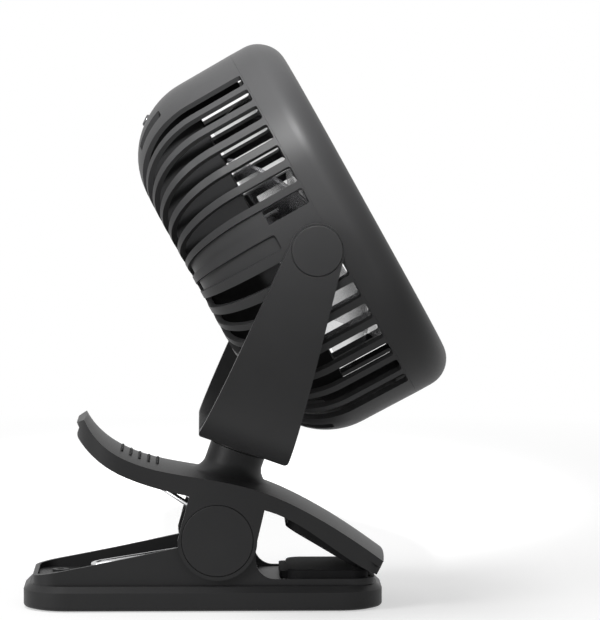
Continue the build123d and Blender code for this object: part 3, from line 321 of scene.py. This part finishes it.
def floorMaterial(look):
    tree, bounce = newMaterial("paleFloor")
    bounce.inputs["Base Color"].default_value = greyOf(look["bounceTone"])
    bounce.inputs["Roughness"].default_value = look["bounceRoughness"]
    bounce.inputs["Specular IOR Level"].default_value = 0.0
    matte = tree.nodes.new("ShaderNodeBsdfDiffuse")
    matte.inputs["Color"].default_value = greyOf(look["shadowTone"])
    glow = tree.nodes.new("ShaderNodeEmission")
    glow.inputs["Strength"].default_value = look["glow"]
    shown = tree.nodes.new("ShaderNodeAddShader")
    tree.links.new(matte.outputs[0], shown.inputs[0])
    tree.links.new(glow.outputs[0], shown.inputs[1])
    coords = tree.nodes.new("ShaderNodeTexCoord")
    distance = tree.nodes.new("ShaderNodeVectorMath")
    distance.operation = "LENGTH"
    tree.links.new(coords.outputs["Object"], distance.inputs[0])
    white = tree.nodes.new("ShaderNodeEmission")
    farShare = rampBetween(tree, distance.outputs["Value"], 0, 1, look["shadowReach"])
    faded = mixShaders(tree, farShare, shown.outputs[0], white.outputs[0])
    surface = mixShaders(tree, seenDirectly(tree), bounce.outputs[0], faded)
    tree.links.new(surface, tree.nodes["Material Output"].inputs["Surface"])
    return bpy.data.materials["paleFloor"]


def makeFloor(look):
    shape = bmesh.new()
    bmesh.ops.create_circle(shape, cap_ends=True, segments=look["sides"], radius=look["radius"])
    mesh = bpy.data.meshes.new("floor")
    shape.to_mesh(mesh)
    shape.free()
    mesh.materials.append(floorMaterial(look))
    floor = bpy.data.objects.new("floor", mesh)
    floor.location.z = -look["drop"]
    bpy.context.scene.collection.objects.link(floor)


# the fill grows from the horizon up to the height where a direction's Z is fillTop
worldLook = dict(fillLow=0.2, fillHigh=0.55, fillTop=0.9)


def makeWorld(look):
    world = bpy.data.worlds.new("studio")
    bpy.context.scene.world = world
    world.use_nodes = True
    tree = world.node_tree
    coords = tree.nodes.new("ShaderNodeTexCoord")
    direction = tree.nodes.new("ShaderNodeSeparateXYZ")
    tree.links.new(coords.outputs["Generated"], direction.inputs[0])
    fillLevel = rampBetween(tree, direction.outputs["Z"], look["fillLow"], look["fillHigh"],
                            (0, look["fillTop"]))
    fill = tree.nodes["Background"]
    fill.inputs["Color"].default_value = greyOf(1)
    tree.links.new(fillLevel, fill.inputs["Strength"])
    white = tree.nodes.new("ShaderNodeBackground")
    white.inputs["Color"].default_value = greyOf(1)
    surface = mixShaders(tree, seenDirectly(tree), fill.outputs[0], white.outputs[0])
    tree.links.new(surface, tree.nodes["World Output"].inputs["Surface"])


makeFloor(floorLook)
makeWorld(worldLook)


# power is in watts and cone in degrees
lamps = {
    "highSoftbox": dict(kind="AREA", place=(-0.5, -0.4, 1.5), target=(0.04, 0, 0.12),
                        size=0.9, power=8),
    "leftSoftbox": dict(kind="AREA", place=(-1.0, -0.7, 0.45), target=(0.0, 0, 0.14),
                        size=0.5, power=8),
    "headSpot": dict(kind="SPOT", place=(0.02, -1.2, 0.95), target=(0.015, -0.08, 0.3),
                     size=0.08, power=780, cone=9.5, coneBlend=1.0),
}


def aim(holder, place, target):
    holder.location = place
    holder.rotation_euler = (target - place).to_track_quat("-Z", "Y").to_euler()
    bpy.context.scene.collection.objects.link(holder)


def makeLamp(name, lamp):
    light = bpy.data.lights.new(name, lamp["kind"])
    light.energy = lamp["power"]
    if lamp["kind"] == "AREA":
        light.size = lamp["size"]
    else:
        light.shadow_soft_size = lamp["size"]
        light.spot_size = math.radians(lamp["cone"])
        light.spot_blend = lamp["coneBlend"]
    aim(bpy.data.objects.new(name, light), Vector(lamp["place"]), Vector(lamp["target"]))


for lampName, lampSetup in lamps.items():
    makeLamp(lampName, lampSetup)


# frameHeight is the height that the picture covers at the target's distance
cameraSetup = dict(place=(0.0001, -1.8, 0.24), target=(0.04095, 0.0, 0.1234),
                   frameHeight=0.2605, farClip=60)


def makeCamera(setup):
    place, target = Vector(setup["place"]), Vector(setup["target"])
    optics = bpy.data.cameras.new("camera")
    optics.lens = optics.sensor_width * (target - place).length / setup["frameHeight"]
    optics.clip_end = setup["farClip"]
    camera = bpy.data.objects.new("camera", optics)
    aim(camera, place, target)
    bpy.context.scene.camera = camera


makeCamera(cameraSetup)
bpy.context.scene.view_settings.view_transform = "Standard"
print("stage ready")
